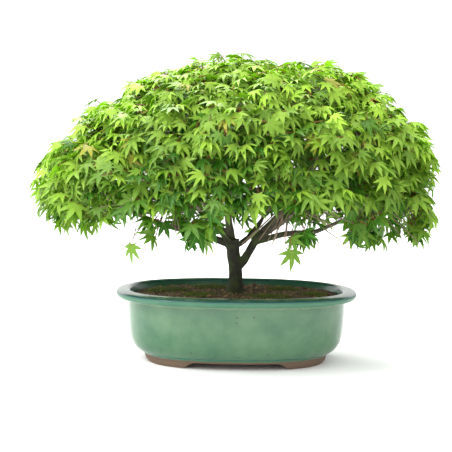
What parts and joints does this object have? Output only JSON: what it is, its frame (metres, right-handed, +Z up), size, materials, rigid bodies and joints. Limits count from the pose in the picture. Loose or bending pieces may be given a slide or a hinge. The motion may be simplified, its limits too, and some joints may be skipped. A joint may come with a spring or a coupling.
{
  "type": "potted bonsai tree",
  "caption": "Domed broadleaf bonsai tree with a forked trunk and a wide canopy of palmate leaves, growing in a glazed oval footed pot with soil and moss.",
  "frame": {"origin": "middle of the oval pot, on the surface that its feet stand on", "axes": "+X to the right along the pot's long side as seen from the front, +Y away from the front, +Z up"},
  "size_m": [0.5452, 0.4035, 0.4113],
  "materials": {
    "glazed_stoneware": "gloss",
    "drain_mesh": "matte",
    "aluminium_wire": "satin",
    "grit": "matte",
    "potting_soil": "matte",
    "moss": "matte",
    "maple_wood": "matte",
    "maple_leaves": "satin"
  },
  "bodies": {
    "root": {"drain_mesh_left": "drain_mesh", "drain_mesh_right": "drain_mesh", "drain_mesh_wire_left": "aluminium_wire", "drain_mesh_wire_right": "aluminium_wire", "foliage_pad_01": "maple_leaves", "foliage_pad_02": "maple_leaves", "foliage_pad_03": "maple_leaves", "foliage_pad_04": "maple_leaves", "foliage_pad_05": "maple_leaves", "foliage_pad_06": "maple_leaves", "foliage_pad_07": "maple_leaves", "foliage_pad_08": "maple_leaves", "foliage_pad_09": "maple_leaves", "foliage_pad_10": "maple_leaves", "foliage_pad_11": "maple_leaves", "foliage_pad_12": "maple_leaves", "foliage_pad_13": "maple_leaves", "foliage_pad_14": "maple_leaves", "foliage_pad_15": "maple_leaves", "foliage_pad_16": "maple_leaves", "foliage_pad_17": "maple_leaves", "foliage_pad_18": "maple_leaves", "foliage_pad_19": "maple_leaves", "foliage_pad_20": "maple_leaves", "foliage_pad_21": "maple_leaves", "foliage_pad_22": "maple_leaves", "foliage_pad_23": "maple_leaves", "foliage_pad_24": "maple_leaves", "foliage_pad_25": "maple_leaves", "grit_layer": "grit", "leaf_back_hanging": "maple_leaves", "leaf_crown_left": "maple_leaves", "leaf_crown_top": "maple_leaves", "leaf_left_hanging": "maple_leaves", "leaf_left_low": "maple_leaves", "leaf_left_shoulder": "maple_leaves", "leaf_left_tip": "maple_leaves", "leaf_right_hanging": "maple_leaves", "leaf_right_low": "maple_leaves", "leaf_right_shoulder": "maple_leaves", "leaf_right_tip": "maple_leaves", "moss_cushion_1": "moss", "moss_cushion_2": "moss", "moss_cushion_3": "moss", "moss_cushion_4": "moss", "moss_cushion_5": "moss", "moss_cushion_6": "moss", "pot": "glazed_stoneware", "soil": "potting_soil", "trunk_and_branches": "maple_wood"}
  },
  "joints": []
}
